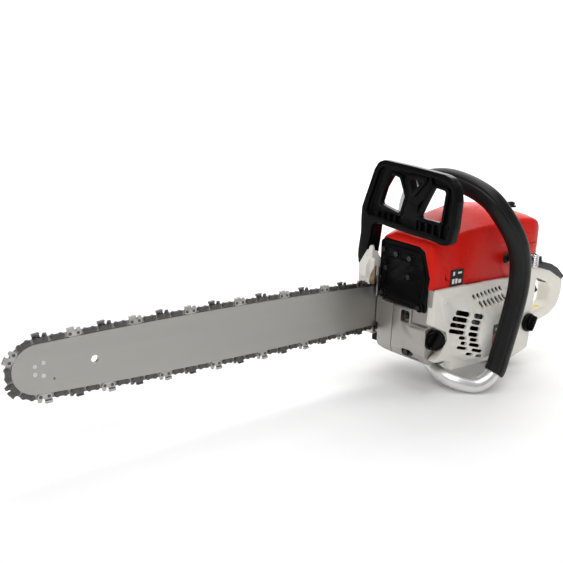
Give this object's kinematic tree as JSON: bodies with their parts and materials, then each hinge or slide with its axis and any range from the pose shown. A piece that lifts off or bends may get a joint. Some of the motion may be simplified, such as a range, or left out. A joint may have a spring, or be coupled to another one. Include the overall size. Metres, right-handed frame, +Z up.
{
  "type": "chainsaw",
  "caption": "Petrol chainsaw with a long guide bar, cutting chain, front hand guard, wrap-round front handle and loop rear handle.",
  "frame": {"origin": "middle of the footprint on the ground: the centre of the overall length and width, at the level of the lowest point", "axes": "+X from the bar nose to the rear handle, +Y from the starter side to the clutch side, +Z up"},
  "size_m": [0.866, 0.1906, 0.3013],
  "materials": {
    "red_plastic": "glossy moulded",
    "ivory_plastic": "satin moulded",
    "nylon": "natural translucent nylon",
    "black_plastic": "satin moulded",
    "grey_plastic": "fine grained",
    "rubber": "matt ribbed",
    "die_cast": "bead blasted casting",
    "tube_metal": "drawn and clear coated",
    "bar_steel": "ground, satin",
    "chain_steel": "oiled dark",
    "cutter_steel": "hard chromed",
    "dark_cutter": "dark chromed",
    "bright_steel": "ground",
    "dark_steel": "black oxide",
    "heat_steel": "heat resistant",
    "chrome_wire": "plated",
    "ceramic": "glazed",
    "filter_felt": "flocked mesh",
    "amber_hose": "clear amber",
    "shoe_lining": "sintered lining",
    "switch_red": "moulded"
  },
  "bodies": {
    "root": {"crankcase_left": "die_cast", "crankcase_right": "die_cast", "case_screws": "dark_steel", "engine_cylinder": "die_cast", "spark_plug": "ceramic", "plug_boot": "rubber", "ignition_coil": "grey_plastic", "muffler": "heat_steel", "muffler_guard": "black_plastic", "top_cover": "red_plastic", "air_filter": "filter_felt", "intake_boot": "rubber", "carburettor": "die_cast", "starter_cover": "ivory_plastic", "recoil_spring": "bright_steel", "clutch_cover": "ivory_plastic", "brake_band": "bright_steel", "cover_strip": "bright_steel", "bar_studs": "bright_steel", "bar_nuts": "dark_steel", "guide_bar": "bar_steel", "nose_rivets": "bright_steel", "chain_drive_links": "chain_steel", "chain_tie_straps": "chain_steel", "chain_cutters_left": "cutter_steel", "chain_cutters_right": "dark_cutter", "chain_rivets": "bright_steel", "chain_catcher": "black_plastic", "main_bearings": "bright_steel", "crank_seals": "rubber", "rear_handle": "nylon", "grip_cover": "grey_plastic", "front_handle_tube": "tube_metal", "handle_sleeve": "rubber", "av_springs": "chrome_wire", "rear_bracket": "black_plastic", "fuel_line": "amber_hose"},
    "crankshaft": {"crankshaft_left": "bright_steel", "crankshaft_right": "bright_steel", "flywheel": "dark_steel", "clutch_hub": "bright_steel", "clutch_shoes": "shoe_lining"},
    "piston_set": {"conrod": "bright_steel", "piston": "die_cast", "piston_rings": "bright_steel", "gudgeon_pin": "bright_steel"},
    "clutch_drum": {"clutch_drum": "bright_steel"},
    "nose_sprocket": {"nose_sprocket": "bright_steel"},
    "hand_guard": {"hand_guard": "black_plastic"},
    "throttle_trigger": {"throttle_trigger": "black_plastic"},
    "throttle_lockout": {"throttle_lockout": "black_plastic"},
    "throttle_valve": {"throttle_shaft": "bright_steel"},
    "choke_knob": {"choke_knob": "black_plastic"},
    "choke_valve": {"choke_plate": "bright_steel"},
    "starter_grip": {"starter_grip": "black_plastic"},
    "starter_reel": {"starter_reel": "ivory_plastic"},
    "oil_cap": {"oil_cap": "black_plastic"},
    "fuel_cap": {"fuel_cap": "black_plastic"},
    "stop_switch": {"stop_switch": "switch_red"},
    "cover_knob": {"cover_knob": "black_plastic"}
  },
  "joints": [
    {"name": "crank_spin", "type": "hinge", "parent": "root", "child": "crankshaft", "pos_m": [0.148, 0.00525, 0.10225], "axis": [0, 1, 0], "continuous": true},
    {"name": "piston_stroke", "type": "slide", "parent": "root", "child": "piston_set", "axis": [0, 0, -1], "range_m": [0, 0.032]},
    {"name": "clutch_drum_spin", "type": "hinge", "parent": "root", "child": "clutch_drum", "pos_m": [0.148, 0.07125, 0.10225], "axis": [0, 1, 0], "continuous": true},
    {"name": "nose_sprocket_spin", "type": "hinge", "parent": "root", "child": "nose_sprocket", "pos_m": [-0.3992, 0.06125, 0.10225], "axis": [0, 1, 0], "continuous": true},
    {"name": "guard_tilt", "type": "hinge", "parent": "root", "child": "hand_guard", "pos_m": [0.06, 0.07925, 0.16425], "axis": [0, -1, 0], "range_deg": [0, 22]},
    {"name": "trigger_pull", "type": "hinge", "parent": "root", "child": "throttle_trigger", "pos_m": [0.344, 0.00625, 0.12825], "axis": [0, -1, 0], "range_deg": [0, 18], "stiffness_Nm_per_rad": 0.3, "springref_deg": -8.59},
    {"name": "lockout_press", "type": "hinge", "parent": "root", "child": "throttle_lockout", "pos_m": [0.362, 0.00625, 0.12925], "axis": [0, 1, 0], "range_deg": [0, 7], "stiffness_Nm_per_rad": 0.3, "springref_deg": -8.59},
    {"name": "throttle_turn", "type": "hinge", "parent": "root", "child": "throttle_valve", "pos_m": [0.218, 0.00525, 0.15325], "axis": [0, 0, -1], "range_deg": [0, 72]},
    {"name": "choke_pull", "type": "slide", "parent": "root", "child": "choke_knob", "axis": [1, 0, 0], "range_m": [0, 0.012]},
    {"name": "choke_turn", "type": "hinge", "parent": "root", "child": "choke_valve", "pos_m": [0.236, 0.00525, 0.15325], "axis": [0, 0, 1], "range_deg": [0, 75]},
    {"name": "starter_pull", "type": "slide", "parent": "root", "child": "starter_grip", "axis": [0, -0.2588, 0.9659], "range_m": [0, 0.55], "stiffness_N_per_m": 15, "springref_m": -0.2},
    {"name": "reel_turn", "type": "hinge", "parent": "root", "child": "starter_reel", "pos_m": [0.148, -0.04575, 0.10225], "axis": [0, 1, 0], "range_deg": [0, 2172]},
    {"name": "oil_cap_turn", "type": "hinge", "parent": "root", "child": "oil_cap", "pos_m": [0.078, -0.03375, 0.07525], "axis": [-0.6157, -0.788, 0], "range_deg": [0, 540]},
    {"name": "fuel_cap_turn", "type": "hinge", "parent": "root", "child": "fuel_cap", "pos_m": [0.292, -0.03375, 0.06625], "axis": [0, -1, 0], "range_deg": [0, 540]},
    {"name": "switch_toggle", "type": "hinge", "parent": "root", "child": "stop_switch", "pos_m": [0.312, 0.02125, 0.16625], "axis": [0, 1, 0], "range_deg": [0, 16]},
    {"name": "knob_turn", "type": "hinge", "parent": "root", "child": "cover_knob", "pos_m": [0.268, 0.00325, 0.23825], "axis": [0, 0, 1], "range_deg": [0, 90]}
  ],
  "couplings": [
    {"joint": "nose_sprocket_spin", "follows": "clutch_drum_spin", "ratio": 0.72727},
    {"joint": "throttle_turn", "follows": "trigger_pull", "ratio": 4},
    {"joint": "choke_turn", "follows": "choke_pull", "rad_per_m": 109.08},
    {"joint": "reel_turn", "follows": "starter_pull", "rad_per_m": 68.966}
  ]
}
